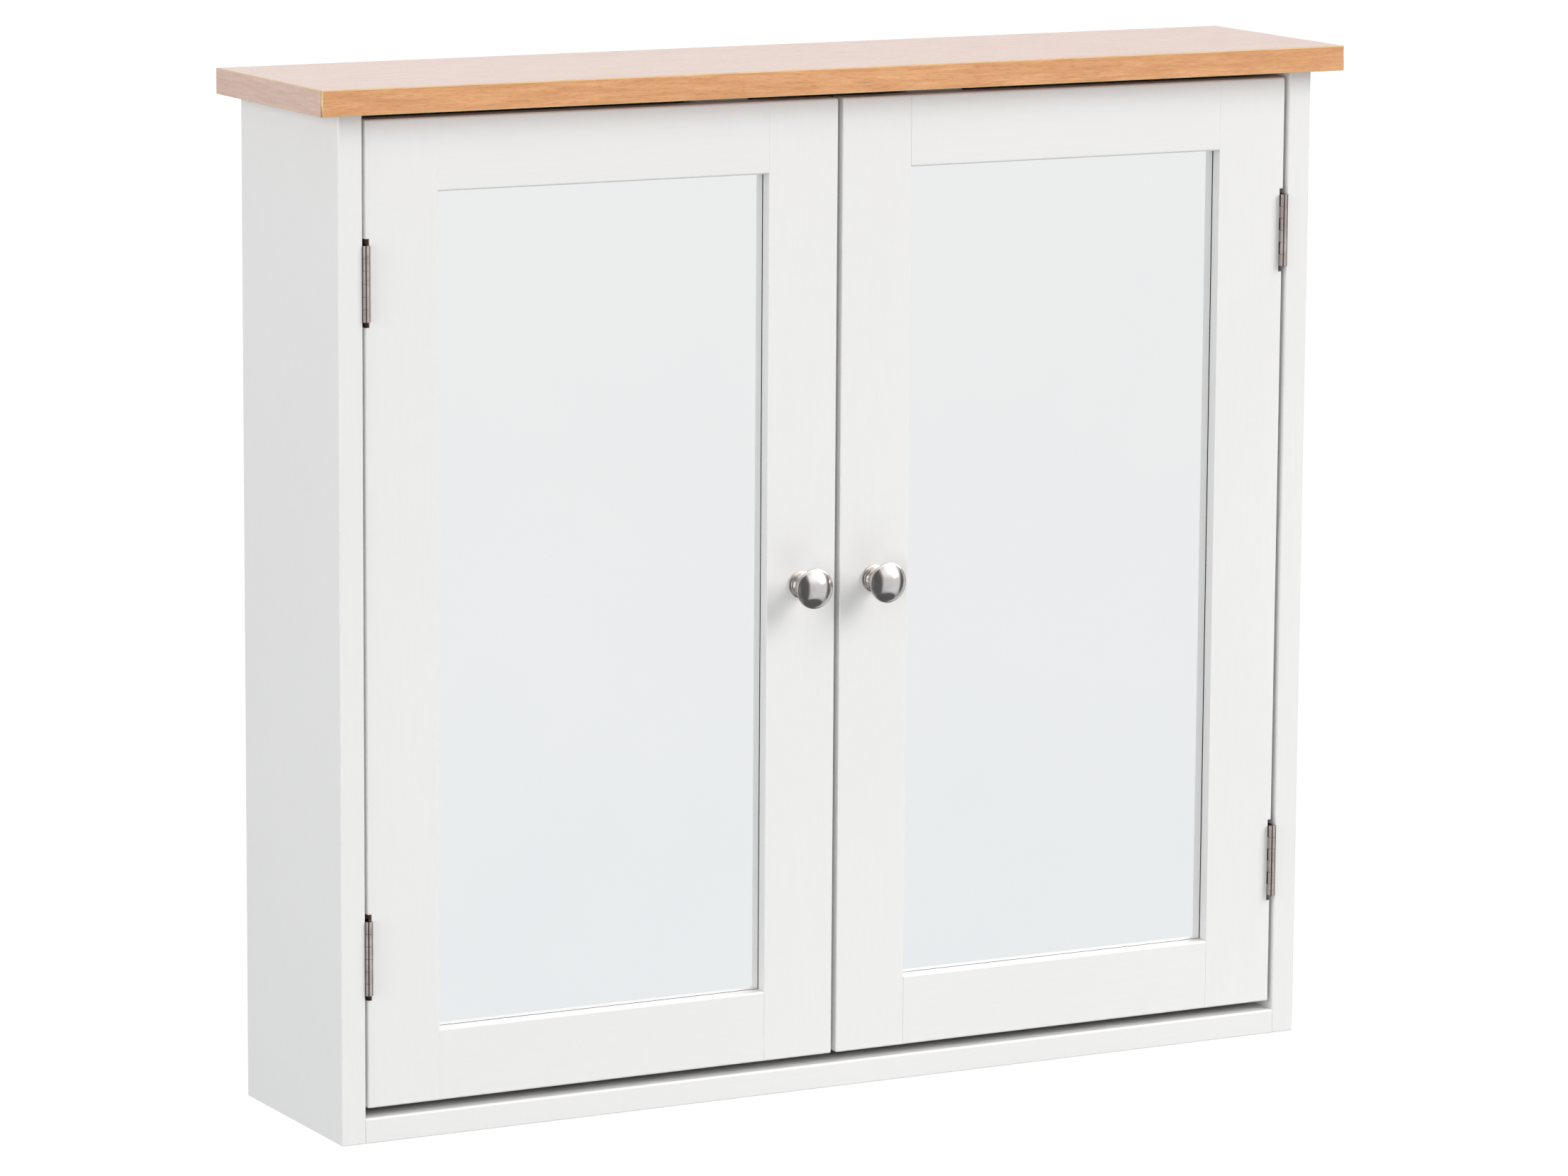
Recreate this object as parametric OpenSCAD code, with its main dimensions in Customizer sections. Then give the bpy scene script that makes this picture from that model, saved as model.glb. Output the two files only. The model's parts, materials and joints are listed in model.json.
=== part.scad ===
// Hanging wall cabinet with two framed mirror doors.
// Millimetres, +Z up. The wall is the plane y = 0, and the doors face -Y.
// The origin lies on the wall, midway between the two wall screws.

/* [Carcass] */
// Width over the two side panels
carcass_w = 560; // [520:1:700]
// Height of the side panels
carcass_h = 518; // [500:1:640]
// Depth of the side panels, from the wall to their front edges
carcass_d = 118; // [115:1:160]
// Thickness of the side, bottom, top, shelf and rail boards
board_t = 13; // [13:0.5:16]
// Thickness of the back panel
back_t = 3; // [2.5:0.5:4]
// Height of the hanging rail behind the back panel
rail_h = 50; // [46:1:80]
// Distance between the two wall screw holes
wall_screw_spacing = 400; // [200:10:440]
// Radius of the wall screw holes
wall_screw_r = 2.75; // [2.25:0.25:3.5]

/* [Top board] */
// How far the top board stands out past each side panel
top_side_overhang = 13.5; // [2:0.5:30]
// How far the top board stands out past the front edges
top_front_overhang = 11; // [2:0.5:20]
// Thickness of the edging strips
edging_t = 1; // [0.5:0.1:1.5]

/* [Shelves] */
// Height of the lowest shelf pin hole above the bottom edge
first_pin_h = 125; // [100:1:140]
// Number of pin holes in each row
pin_holes = 9; // [8:1:10]
// Pin hole that carries the lower shelf, counted from 0
lower_shelf_hole = 1; // [0:1:2]
// Pin hole that carries the upper shelf, counted from 0
upper_shelf_hole = 6; // [5:1:7]
// Depth of a shelf, from front to back
shelf_d = 78; // [60:1:78]

/* [Doors] */
// Thickness of the door frames
door_t = 12; // [12:0.5:13]
// How far the doors sit behind the front edges of the side panels
door_recess = 1.5; // [0.5:0.25:2]
// Gap between a door and the side panel it hangs on
hinge_gap = 2; // [1.5:0.25:2.5]
// Gap between the two doors
centre_gap = 3; // [2:0.25:5]
// Gap between the doors and the top board
door_top_gap = 3.5; // [2:0.25:4]
// Gap between the doors and the bottom panel
door_bottom_gap = 4.5; // [2:0.25:6]
// Width of the upright stiles
stile_w = 39.5; // [38:0.5:55]
// Height of the top and bottom rails of a door
door_rail_h = 37; // [37:0.5:55]
// Depth from the door's face to the mirror
mirror_depth = 6.5; // [5:0.25:6.5]
// Thickness of the mirror glass
mirror_t = 3; // [2.5:0.25:3]

/* [Hinges] */
// Height of the upper hinge's centre above the bottom edge
upper_hinge_h = 434; // [400:1:450]
// Height of the lower hinge's centre above the bottom edge
lower_hinge_h = 95; // [70:1:110]
// Length of a hinge
hinge_l = 38; // [36:1:44]
// Radius of the hinge knuckles
knuckle_r = 2.05; // [2:0.05:2.2]
// Thickness of a hinge leaf
leaf_t = 0.9; // [0.8:0.05:1]

/* [Knobs] */
// Radius of the knob's cap
knob_cap_r = 10.4; // [9:0.1:13]
// How far the knob stands out from the door
knob_l = 20; // [18:0.5:24]

/* [Hidden] */
$fn = 48;
LEFT = -1;
RIGHT = 1;

// Colours
white_lacquer = "#F2F2F0";
beech_foil = "#DCA377";
hardboard = "#8A6A4C";
bare_wood = "#D8B98A";
satin_nickel = "#B9B5AE";
zinc = "#9A9C9E";
mirror_silver = "#D5DCE0";
white_plastic = "#ECECEA";
ferrite = "#2E2E30";

// Carcass
top_z = rail_h / 2;
floor_z = top_z - carcass_h;
inner_w = carcass_w - 2 * board_t;
top_w = carcass_w + 2 * top_side_overhang;
top_d = carcass_d + top_front_overhang;
groove_depth = 5.5;
back_slack = 0.15;
back_edge_in = 5;
pin_pitch = 32;
pin_rows_y = [-86, -32];
pin_hole_r = 2.5;
pin_hole_depth = 9;
pin_flange_r = 4;
pin_flange_t = 1.5;
pin_rest_l = 10;
pin_rest_h = 2.5;
shelf_gap = 2;
shelf_back_gap = 1;

// Cam joints and dowels of the carcass
joint_y = [-92, -32];
dowel_y = -62;
rail_cam_z = 9;
rail_dowel_z = -14;
cam_r = 5.95;
cam_t = 9.4;
cam_reach = 24;
dowel_r = 2.95;
dowel_anchor = 9;
dowel_reach = 21;
bolt_thread_r = 2.4;
bolt_thread_l = 8.8;
bolt_collar_r = 3.1;
bolt_head_r = 2.3;
hole_slack = 0.1;
end_slack = 0.3;

// Doors
door_h = carcass_h - board_t - door_top_gap - door_bottom_gap;
door_z = floor_z + board_t + door_bottom_gap;
door_y = -carcass_d + door_recess;
door_back_y = door_y + door_t;
door_edge_x = -inner_w / 2 + hinge_gap;
meeting_x = -centre_gap / 2;
open_x = [door_edge_x + stile_w, meeting_x - stile_w];
open_z = [door_z + door_rail_h, door_z + door_h - door_rail_h];
mirror_rebate = 6;
backing_rebate = 14;
backing_y = door_y + mirror_depth + mirror_t;
backing_screw_in = 10;
backing_screw_dx = 40;
backing_screw_r = 1.2;
backing_screw_l = 8;
glass_slack = 0.5;
frame_dowel_in = [7, 18];
frame_dowel_half = 15;

// Hinges
pin_r = knuckle_r - leaf_t - 0.1;
running_fit = 0.05;
axis_x = -inner_w / 2 + knuckle_r + 0.05;
axis_y = -carcass_d;
leaf_w = 11;
knuckles = 6;
knuckle_gap = 0.15;
knuckle_l = hinge_l / knuckles;
knuckle_clear = knuckle_r + 0.25;
hinge_notch_margin = 3;
hinge_z = [floor_z + upper_hinge_h, floor_z + lower_hinge_h];
leaf_screw_y = 6.6;
leaf_screw_dz = 12;
leaf_screw_r = 1.2;
leaf_screw_l = 11;
leaf_head_r = 2.4;

// Magnetic catches
catch_x = -62;
catch_w = 32;
catch_h = 16.6;
catch_d = 14;
catch_ear = 8;
catch_ear_t = 3;
catch_ear_in = 2;
catch_screw_r = 1.4;
catch_screw_l = 13;
strike_t = 1;
strike_screw_r = 1.2;
strike_screw_l = 9;
strike_head_r = 2.4;
strike_w = 30;
strike_h = 12;
strike_top_in = 2;
catch_y = door_back_y + strike_t + 0.9;
pole_w = 26;
pole_t = 1.2;
pole_d = 12;
magnet_h = 5;
magnet_d = 10;
pole_top_z = top_z - 7.2;

// Knobs
knob_x = meeting_x - stile_w / 2;
knob_z = door_z + door_h / 2;
knob_base_r = 7.15;
knob_stem_r = 4;
knob_screw_r = 1.95;
knob_screw_reach = 8;
knob_thread_l = 9;

// A box between two opposite corners.
module box_between(low, high) {
    translate(low) cube(high - low);
}

// Draws the left half's children as they are, or mirrored for the right half.
module on_side(side) {
    mirror([side == RIGHT ? 1 : 0, 0, 0]) children();
}

module on_both_sides() {
    for (side = [LEFT, RIGHT]) on_side(side) children();
}

// ---- Fasteners. Each points along -Z, with its head's seat or top at z = 0. ----

module cross_recess(arm, width, depth) {
    for (turn = [0, 90]) {
        rotate([0, 0, turn]) translate([-arm, -width / 2, -depth]) cube([2 * arm, width, depth + 1]);
    }
}

module screw_shank(r, length) {
    tip = 2 * r;
    translate([0, 0, tip - length]) cylinder(r = r, h = length - tip);
    translate([0, 0, -length]) cylinder(r1 = 0.15, r2 = r, h = tip);
}

module countersunk_screw(r, length, head_r, head_h) {
    difference() {
        union() {
            translate([0, 0, -head_h]) cylinder(r1 = r, r2 = head_r, h = head_h);
            translate([0, 0, -head_h]) screw_shank(r, length - head_h);
        }
        cross_recess(head_r * 0.6, 0.5, head_h * 0.7);
    }
}

module pan_head(head_r, head_h) {
    dome_r = (head_r * head_r + head_h * head_h) / (2 * head_h);
    difference() {
        rotate_extrude() intersection() {
            square([head_r, head_h]);
            translate([0, head_h - dome_r]) circle(dome_r);
        }
        translate([0, 0, head_h]) cross_recess(head_r * 0.5, 0.6, head_h * 0.6);
    }
}

module pan_screw(r, length, head_r, head_h) {
    pan_head(head_r, head_h);
    screw_shank(r, length);
}

module dowel(r, length) {
    chamfer = 1;
    cylinder(r1 = r - chamfer, r2 = r, h = chamfer);
    translate([0, 0, chamfer]) cylinder(r = r, h = length - 2 * chamfer);
    translate([0, 0, length - chamfer]) cylinder(r1 = r, r2 = r - chamfer, h = chamfer);
}

// ---- Carcass joints. Locally +Z runs into the board that holds the cam or the longer dowel end, ----
// ---- and +X points out of the face that the cam is pressed into. ----

module under_top_board(y) {
    translate([-(inner_w + board_t) / 2, y, top_z]) rotate([180, 0, 0]) children();
}

module into_bottom_panel(y) {
    translate([-inner_w / 2, y, floor_z + board_t / 2]) rotate([0, 90, 0]) children();
}

module into_hanging_rail(z) {
    translate([-inner_w / 2, -board_t / 2, z]) rotate([90, 0, 90]) children();
}

module at_cam_joints() {
    for (y = joint_y) {
        under_top_board(y) children();
        into_bottom_panel(y) children();
    }
    into_hanging_rail(rail_cam_z) children();
}

module at_dowel_joints() {
    under_top_board(dowel_y) children();
    into_bottom_panel(dowel_y) children();
    into_hanging_rail(rail_dowel_z) children();
}

// A threaded end, a collar, a shank, a thin neck that passes the cam's slot, and a head inside the cam.
module cam_bolt() {
    collar = 1;
    shank_r = 2;
    taper = 1;
    neck_r = 1.2;
    neck_l = 4;
    head_z = cam_reach - 2;
    head_l = 2;
    head_end_r = 1.5;
    translate([0, 0, -bolt_thread_l]) cylinder(r = bolt_thread_r, h = bolt_thread_l);
    cylinder(r = bolt_collar_r, h = collar);
    translate([0, 0, collar]) cylinder(r = shank_r, h = head_z - neck_l - taper - collar);
    translate([0, 0, head_z - neck_l - taper]) cylinder(r1 = shank_r, r2 = neck_r, h = taper);
    translate([0, 0, head_z - neck_l]) cylinder(r = neck_r, h = neck_l);
    translate([0, 0, head_z]) cylinder(r1 = head_end_r, r2 = bolt_head_r, h = taper);
    translate([0, 0, head_z + taper]) cylinder(r = bolt_head_r, h = head_l);
    translate([0, 0, head_z + taper + head_l]) cylinder(r1 = bolt_head_r, r2 = head_end_r, h = 0.8);
}

// The cam's slotted face is flush with the board, and a window in its rim takes the bolt's head.
module cam_lock() {
    window = 5.4;
    window_roof = 3.8;
    neck_slot = 3.2;
    slot_roof = 4.6;
    translate([board_t / 2, 0, cam_reach]) rotate([0, 90, 0]) difference() {
        translate([0, 0, -cam_t]) cylinder(r = cam_r, h = cam_t);
        translate([-window / 2, -window / 2, -cam_t - 1]) cube([window, window, cam_t + 1 - window_roof]);
        translate([0, -neck_slot / 2, -cam_t - 1]) cube([cam_r + 1, neck_slot, cam_t + 1 - slot_roof]);
        cross_recess(3.4, 1.2, 2.4);
    }
}

module carcass_joint_holes() {
    at_cam_joints() {
        translate([0, 0, -bolt_thread_l - hole_slack]) {
            cylinder(r = bolt_thread_r + hole_slack, h = bolt_thread_l + 2 * hole_slack);
        }
        cylinder(r = bolt_collar_r + hole_slack, h = cam_reach);
        translate([board_t / 2 - cam_t - 0.2, 0, cam_reach]) {
            rotate([0, 90, 0]) cylinder(r = cam_r + hole_slack, h = cam_t + 1.2);
        }
    }
    at_dowel_joints() {
        translate([0, 0, -dowel_anchor]) cylinder(r = dowel_r + hole_slack, h = dowel_anchor + dowel_reach);
    }
}

module cam_bolts() {
    color(zinc) on_both_sides() at_cam_joints() cam_bolt();
}

module cam_locks() {
    color(zinc) on_both_sides() at_cam_joints() cam_lock();
}

module carcass_dowels() {
    color(bare_wood) on_both_sides() at_dowel_joints() {
        translate([0, 0, end_slack - dowel_anchor]) {
            dowel(dowel_r, dowel_anchor + dowel_reach - 2 * end_slack);
        }
    }
}

// ---- Shelf pins. Locally the hole's mouth is at x = 0 and the pin points along +X into the cabinet. ----

module at_pin_holes(holes) {
    for (i = holes, y = pin_rows_y) {
        translate([-inner_w / 2, y, floor_z + first_pin_h + i * pin_pitch]) children();
    }
}

module shelf_pin() {
    rib = [4.5, 2, 3.5];
    rotate([0, -90, 0]) cylinder(r = pin_hole_r - hole_slack, h = pin_hole_depth - end_slack);
    rotate([0, 90, 0]) cylinder(r = pin_flange_r, h = pin_flange_t);
    box_between([pin_flange_t, -pin_flange_r, 0], [pin_rest_l, pin_flange_r, pin_rest_h]);
    translate([pin_flange_t, -rib[1] / 2, -rib[2]]) cube(rib);
}

module shelf_pins(hole) {
    color(zinc) on_both_sides() at_pin_holes([hole]) shelf_pin();
}

// ---- Hinges ----

module at_hinges() {
    for (z = hinge_z) translate([axis_x, axis_y, z]) children();
}

// Places its children on a leaf's inner face at each screw, pointing out through the leaf.
module at_leaf_screws() {
    for (end = [-1, 1]) {
        translate([leaf_t - knuckle_r, leaf_screw_y, end * leaf_screw_dz]) rotate([0, 90, 0]) children();
    }
}

// One leaf, folded against the board on its -X side. Its knuckles alternate with the other leaf's.
module hinge_leaf(first_knuckle, bore_r) {
    difference() {
        union() {
            box_between([-knuckle_r, knuckle_clear, -hinge_l / 2], [leaf_t - knuckle_r, leaf_w, hinge_l / 2]);
            for (i = [first_knuckle:2:knuckles - 1]) {
                translate([0, 0, -hinge_l / 2 + i * knuckle_l + knuckle_gap / 2]) {
                    cylinder(r = knuckle_r, h = knuckle_l - knuckle_gap);
                    translate([-knuckle_r, 0, 0]) cube([leaf_t, knuckle_clear, knuckle_l - knuckle_gap]);
                }
            }
        }
        cylinder(r = bore_r, h = hinge_l + 2, center = true);
        at_leaf_screws() {
            translate([0, 0, -leaf_t]) {
                cylinder(r1 = leaf_screw_r + hole_slack, r2 = leaf_head_r + hole_slack, h = leaf_t);
            }
        }
    }
}

module leaf_screw() {
    countersunk_screw(leaf_screw_r, leaf_screw_l, leaf_head_r, leaf_t);
}

module leaf_pilot_hole() {
    translate([0, 0, -leaf_screw_l - end_slack]) cylinder(r = leaf_screw_r + hole_slack, h = leaf_screw_l);
}

module frame_leaf(side, z) {
    color(satin_nickel) on_side(side) translate([axis_x, axis_y, z]) hinge_leaf(1, pin_r);
}

module door_leaf(side, z) {
    color(satin_nickel) on_side(side) translate([axis_x, axis_y, z]) {
        mirror([1, 0, 0]) hinge_leaf(0, pin_r + running_fit);
    }
}

module hinge_pins() {
    color(satin_nickel) on_both_sides() at_hinges() {
        cylinder(r = pin_r, h = hinge_l - knuckle_gap, center = true);
    }
}

module frame_leaf_screws() {
    color(satin_nickel) on_both_sides() at_hinges() at_leaf_screws() leaf_screw();
}

module door_leaf_screws(side) {
    color(satin_nickel) on_side(side) at_hinges() mirror([1, 0, 0]) at_leaf_screws() leaf_screw();
}

// ---- Carcass boards ----

module side_panel(side) {
    color(white_lacquer) on_side(side) difference() {
        box_between([-carcass_w / 2, -carcass_d, floor_z], [-inner_w / 2, 0, top_z]);
        box_between(
            [-inner_w / 2 - groove_depth, -board_t - back_t - back_slack, floor_z - 1],
            [-inner_w / 2 + 1, -board_t + back_slack, top_z + 1]
        );
        at_pin_holes([0:pin_holes - 1]) rotate([0, -90, 0]) cylinder(r = pin_hole_r, h = pin_hole_depth);
        carcass_joint_holes();
        at_hinges() at_leaf_screws() leaf_pilot_hole();
    }
}

module bottom_panel() {
    color(white_lacquer) difference() {
        box_between([-inner_w / 2, -carcass_d, floor_z], [inner_w / 2, 0, floor_z + board_t]);
        box_between(
            [-inner_w / 2 - 1, -board_t - back_t - back_slack, floor_z + board_t - groove_depth],
            [inner_w / 2 + 1, -board_t + back_slack, floor_z + board_t + 1]
        );
        on_both_sides() carcass_joint_holes();
    }
}

module top_board() {
    color(beech_foil) difference() {
        box_between(
            [edging_t - top_w / 2, edging_t - top_d, top_z],
            [top_w / 2 - edging_t, 0, top_z + board_t]
        );
        on_both_sides() {
            carcass_joint_holes();
            at_catch_screws() catch_pilot_hole();
        }
    }
}

module top_end_edging(side) {
    color(beech_foil) on_side(side) {
        box_between([-top_w / 2, edging_t - top_d, top_z], [edging_t - top_w / 2, 0, top_z + board_t]);
    }
}

module top_front_edging() {
    color(beech_foil) {
        box_between([-top_w / 2, -top_d, top_z], [top_w / 2, edging_t - top_d, top_z + board_t]);
    }
}

module at_wall_screws() {
    for (x = [-1, 1] * wall_screw_spacing / 2) translate([x, 0, 0]) rotate([90, 0, 0]) children();
}

module back_panel() {
    edge_x = inner_w / 2 + back_edge_in;
    color(white_lacquer) difference() {
        box_between(
            [-edge_x, -board_t - back_t, floor_z + board_t - back_edge_in],
            [edge_x, -board_t, top_z - back_slack]
        );
        at_wall_screws() cylinder(r = wall_screw_r, h = carcass_d / 2);
    }
}

module hanging_rail() {
    color(white_lacquer) difference() {
        box_between([-inner_w / 2, -board_t, top_z - rail_h], [inner_w / 2, 0, top_z]);
        at_wall_screws() translate([0, 0, -1]) cylinder(r = wall_screw_r, h = board_t + 2);
        on_both_sides() carcass_joint_holes();
    }
}

module shelf(hole) {
    shelf_back_y = -board_t - back_t - shelf_back_gap;
    under_z = floor_z + first_pin_h + hole * pin_pitch + pin_rest_h;
    edge_x = inner_w / 2 - shelf_gap;
    color(white_lacquer) {
        box_between([-edge_x, shelf_back_y - shelf_d, under_z], [edge_x, shelf_back_y, under_z + board_t]);
    }
}

// ---- Magnetic catches ----

// Locally +Z points down, out of the ear's lower face.
module at_catch_screws() {
    for (end = [-1, 1]) {
        translate([catch_x + end * (catch_w + catch_ear) / 2, catch_y + catch_d / 2, top_z - catch_ear_t]) {
            rotate([180, 0, 0]) children();
        }
    }
}

module catch_pilot_hole() {
    translate([0, 0, -catch_screw_l - end_slack]) {
        cylinder(r = catch_screw_r + hole_slack, h = catch_screw_l);
    }
}

module catch_housing(side) {
    pocket_h = 2 * pole_t + magnet_h + 0.2;
    ear_x = catch_w / 2 + catch_ear;
    color(white_plastic) on_side(side) difference() {
        union() {
            box_between(
                [catch_x - catch_w / 2, catch_y, top_z - catch_h],
                [catch_x + catch_w / 2, catch_y + catch_d, top_z]
            );
            box_between(
                [catch_x - ear_x, catch_y + catch_ear_in, top_z - catch_ear_t],
                [catch_x + ear_x, catch_y + catch_d - catch_ear_in, top_z]
            );
        }
        box_between(
            [catch_x - pole_w / 2 - 0.1, catch_y - 1, pole_top_z + 0.1 - pocket_h],
            [catch_x + pole_w / 2 + 0.1, catch_y + pole_d - 0.5, pole_top_z + 0.1]
        );
        at_catch_screws() translate([0, 0, -catch_ear_t - 1]) {
            cylinder(r = catch_screw_r + end_slack, h = catch_ear_t + 2);
        }
    }
}

module catch_pole_plates() {
    color(zinc) on_both_sides() for (z = [pole_top_z, pole_top_z - pole_t - magnet_h]) {
        translate([catch_x - pole_w / 2, catch_y - 0.8, z - pole_t]) cube([pole_w, pole_d, pole_t]);
    }
}

module catch_magnets() {
    color(ferrite) on_both_sides() {
        translate([catch_x - pole_w / 2, catch_y + 0.7, pole_top_z - pole_t - magnet_h]) {
            cube([pole_w, magnet_d, magnet_h]);
        }
    }
}

module catch_screws() {
    color(zinc) on_both_sides() at_catch_screws() pan_screw(catch_screw_r, catch_screw_l, 2.9, 1.8);
}

// ---- Door frames ----

// The stepped rebate behind a door's opening: one step for the mirror and a wider one for its backing.
module door_rebate() {
    box_between(
        [open_x[0] - mirror_rebate, door_y + mirror_depth, open_z[0] - mirror_rebate],
        [open_x[1] + mirror_rebate, door_back_y + 1, open_z[1] + mirror_rebate]
    );
    box_between(
        [open_x[0] - backing_rebate, backing_y, open_z[0] - backing_rebate],
        [open_x[1] + backing_rebate, door_back_y + 1, open_z[1] + backing_rebate]
    );
}

// Locally +Z points out of the door's back.
module at_backing_screws() {
    mid_x = (open_x[0] + open_x[1]) / 2;
    mid_z = (open_z[0] + open_z[1]) / 2;
    screw_x = [open_x[0] - backing_screw_in, open_x[1] + backing_screw_in];
    for (x = screw_x, z = [open_z[0], mid_z, open_z[1]]) {
        translate([x, door_back_y, z]) rotate([-90, 0, 0]) children();
    }
    for (end = [-1, 1], z = [open_z[0] - backing_screw_in, open_z[1] + backing_screw_in]) {
        translate([mid_x + end * backing_screw_dx, door_back_y, z]) rotate([-90, 0, 0]) children();
    }
}

// Locally the joint between stile and rail is at z = 0 and +Z points along +X.
module at_frame_dowels() {
    for (x = open_x, inset = frame_dowel_in, z = [door_z + inset, door_z + door_h - inset]) {
        translate([x, door_y + door_t / 2, z]) rotate([0, 90, 0]) children();
    }
}

module at_strike_screw() {
    strike_mid_z = door_z + door_h - strike_top_in - strike_h / 2;
    translate([catch_x, door_back_y + strike_t, strike_mid_z]) rotate([-90, 0, 0]) children();
}

module door_holes() {
    at_backing_screws() translate([0, 0, -backing_screw_l - end_slack]) {
        cylinder(r = backing_screw_r + hole_slack, h = backing_screw_l);
    }
    at_frame_dowels() cylinder(r = dowel_r + hole_slack, h = 2 * frame_dowel_half, center = true);
    at_strike_screw() translate([0, 0, -strike_screw_l - end_slack]) {
        cylinder(r = strike_screw_r + hole_slack, h = strike_screw_l);
    }
    translate([knob_x, door_y - 1, knob_z]) rotate([-90, 0, 0]) {
        cylinder(r = knob_screw_r + end_slack, h = door_t + 2);
    }
    at_hinges() {
        mirror([1, 0, 0]) at_leaf_screws() leaf_pilot_hole();
        translate([-knuckle_r, 0, -hinge_l / 2 - hinge_notch_margin]) {
            cube([2 * knuckle_r + 0.05, door_recess + door_t + 1, hinge_l + 2 * hinge_notch_margin]);
        }
    }
}

// A board of the door frame between two x and two z values, with its rebate and holes.
module door_board(side, x, z) {
    color(white_lacquer) on_side(side) difference() {
        box_between([x[0], door_y, z[0]], [x[1], door_back_y, z[1]]);
        door_rebate();
        door_holes();
    }
}

module hinge_stile(side) {
    door_board(side, [door_edge_x, open_x[0]], [door_z, door_z + door_h]);
}

module meeting_stile(side) {
    door_board(side, [open_x[1], meeting_x], [door_z, door_z + door_h]);
}

module top_rail(side) {
    door_board(side, open_x, [open_z[1], door_z + door_h]);
}

module bottom_rail(side) {
    door_board(side, open_x, [door_z, open_z[0]]);
}

module frame_dowels(side) {
    color(bare_wood) on_side(side) at_frame_dowels() {
        translate([0, 0, end_slack - frame_dowel_half]) dowel(dowel_r, 2 * (frame_dowel_half - end_slack));
    }
}

module mirror_glass(side) {
    reach = mirror_rebate - glass_slack;
    color(mirror_silver) on_side(side) box_between(
        [open_x[0] - reach, door_y + mirror_depth, open_z[0] - reach],
        [open_x[1] + reach, backing_y, open_z[1] + reach]
    );
}

module backing_board(side) {
    reach = backing_rebate - glass_slack;
    color(hardboard) on_side(side) difference() {
        box_between(
            [open_x[0] - reach, backing_y, open_z[0] - reach],
            [open_x[1] + reach, door_back_y, open_z[1] + reach]
        );
        at_backing_screws() cylinder(r = backing_screw_r + 2 * hole_slack, h = 2 * door_t, center = true);
    }
}

module backing_screws(side) {
    color(zinc) on_side(side) at_backing_screws() {
        pan_screw(backing_screw_r, backing_screw_l, 2.5, 1.4);
    }
}

// ---- Knobs. Locally the base is at z = 0 and +Z points away from the door. ----

module knob_profile() {
    rim_z = knob_l - 4.6;
    rim_half = [0.8, 0.6];
    base_t = 1.4;
    dome_rise = knob_l - rim_z - rim_half[1];
    dome_r = (knob_cap_r * knob_cap_r + dome_rise * dome_rise) / (2 * dome_rise);
    hollow_r = (rim_z - 3) / 2;
    square([knob_base_r, base_t]);
    difference() {
        square([knob_stem_r + 3, rim_z - rim_half[1]]);
        translate([knob_stem_r + hollow_r, base_t + hollow_r]) circle(hollow_r);
        translate([knob_stem_r + hollow_r, base_t]) square([hollow_r, 2 * hollow_r]);
    }
    polygon([
        [0, rim_z - 4],
        [knob_stem_r + 1, rim_z - 3],
        [knob_cap_r - 0.6, rim_z - rim_half[0]],
        [0, rim_z - rim_half[0]]
    ]);
    translate([0, rim_z - rim_half[0]]) square([knob_cap_r, rim_half[0] + rim_half[1]]);
    intersection() {
        translate([0, rim_z + rim_half[1]]) square([knob_cap_r, dome_rise]);
        translate([0, knob_l - dome_r]) circle(dome_r);
    }
}

module knob(side) {
    color(satin_nickel) on_side(side) translate([knob_x, door_y, knob_z]) rotate([90, 0, 0]) difference() {
        rotate_extrude() knob_profile();
        translate([0, 0, -1]) cylinder(r = knob_screw_r + hole_slack, h = knob_thread_l + 1);
    }
}

module knob_screw(side) {
    color(zinc) on_side(side) translate([knob_x, door_back_y, knob_z]) rotate([-90, 0, 0]) {
        pan_head(3.9, 2.4);
        translate([0, 0, -door_t - knob_screw_reach]) {
            cylinder(r = knob_screw_r, h = door_t + knob_screw_reach);
        }
    }
}

module strike_plate(side) {
    strike_top_z = door_z + door_h - strike_top_in;
    color(zinc) on_side(side) difference() {
        box_between(
            [catch_x - strike_w / 2, door_back_y, strike_top_z - strike_h],
            [catch_x + strike_w / 2, door_back_y + strike_t, strike_top_z]
        );
        at_strike_screw() {
            translate([0, 0, -strike_t]) {
                cylinder(r1 = strike_screw_r + hole_slack, r2 = strike_head_r + hole_slack, h = strike_t);
            }
        }
    }
}

module strike_screw(side) {
    color(zinc) on_side(side) at_strike_screw() {
        countersunk_screw(strike_screw_r, strike_screw_l, strike_head_r, strike_t);
    }
}

side_panel(LEFT);  // left_side
side_panel(RIGHT);  // right_side
bottom_panel();
top_board();
top_front_edging();
top_end_edging(LEFT);  // top_left_edging
top_end_edging(RIGHT);  // top_right_edging
back_panel();
hanging_rail();
shelf(lower_shelf_hole);  // lower_shelf
shelf(upper_shelf_hole);  // upper_shelf
shelf_pins(lower_shelf_hole);  // lower_shelf_pins
shelf_pins(upper_shelf_hole);  // upper_shelf_pins
cam_bolts();
cam_locks();
carcass_dowels();
catch_housing(LEFT);  // left_catch_housing
catch_housing(RIGHT);  // right_catch_housing
catch_pole_plates();
catch_magnets();
catch_screws();
frame_leaf(LEFT, hinge_z[0]);  // left_upper_frame_leaf
frame_leaf(LEFT, hinge_z[1]);  // left_lower_frame_leaf
frame_leaf(RIGHT, hinge_z[0]);  // right_upper_frame_leaf
frame_leaf(RIGHT, hinge_z[1]);  // right_lower_frame_leaf
hinge_pins();
frame_leaf_screws();
hinge_stile(LEFT);  // left_hinge_stile
meeting_stile(LEFT);  // left_meeting_stile
top_rail(LEFT);  // left_top_rail
bottom_rail(LEFT);  // left_bottom_rail
frame_dowels(LEFT);  // left_frame_dowels
mirror_glass(LEFT);  // left_mirror
backing_board(LEFT);  // left_backing_board
backing_screws(LEFT);  // left_backing_screws
knob(LEFT);  // left_knob
knob_screw(LEFT);  // left_knob_screw
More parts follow.
